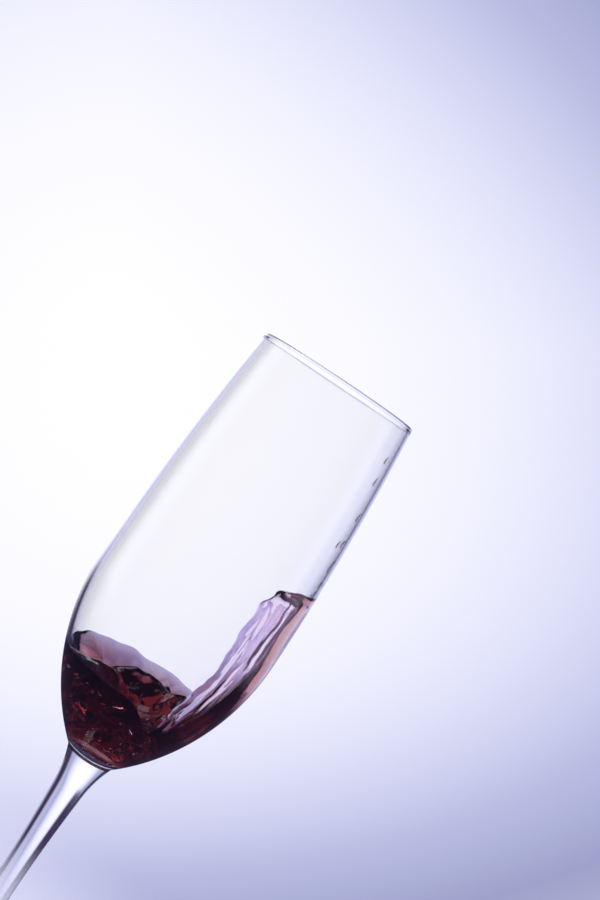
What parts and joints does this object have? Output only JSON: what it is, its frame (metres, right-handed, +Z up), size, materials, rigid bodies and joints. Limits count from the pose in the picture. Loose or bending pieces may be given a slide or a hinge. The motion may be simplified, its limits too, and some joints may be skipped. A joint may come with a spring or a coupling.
{
  "type": "glass of red wine",
  "caption": "Clear stemmed flute with a swirling pool of red wine and a thin sheet of wine running down one inner wall.",
  "frame": {"origin": "centre of the foot's underside, on the surface that the glass stands on", "axes": "+Z up along the stem to the rim, +X towards the wall that the sheet of wine clings to, +Y completes the frame"},
  "size_m": [0.068, 0.068, 0.225],
  "materials": {
    "clear_glass": "clear soda-lime glass, smooth and fire-polished",
    "red_wine": "clear dark red liquid, orange-red where it is thin, mauve as a film on the wall"
  },
  "bodies": {
    "root": {"glass": "clear_glass", "wine": "red_wine"}
  },
  "joints": []
}
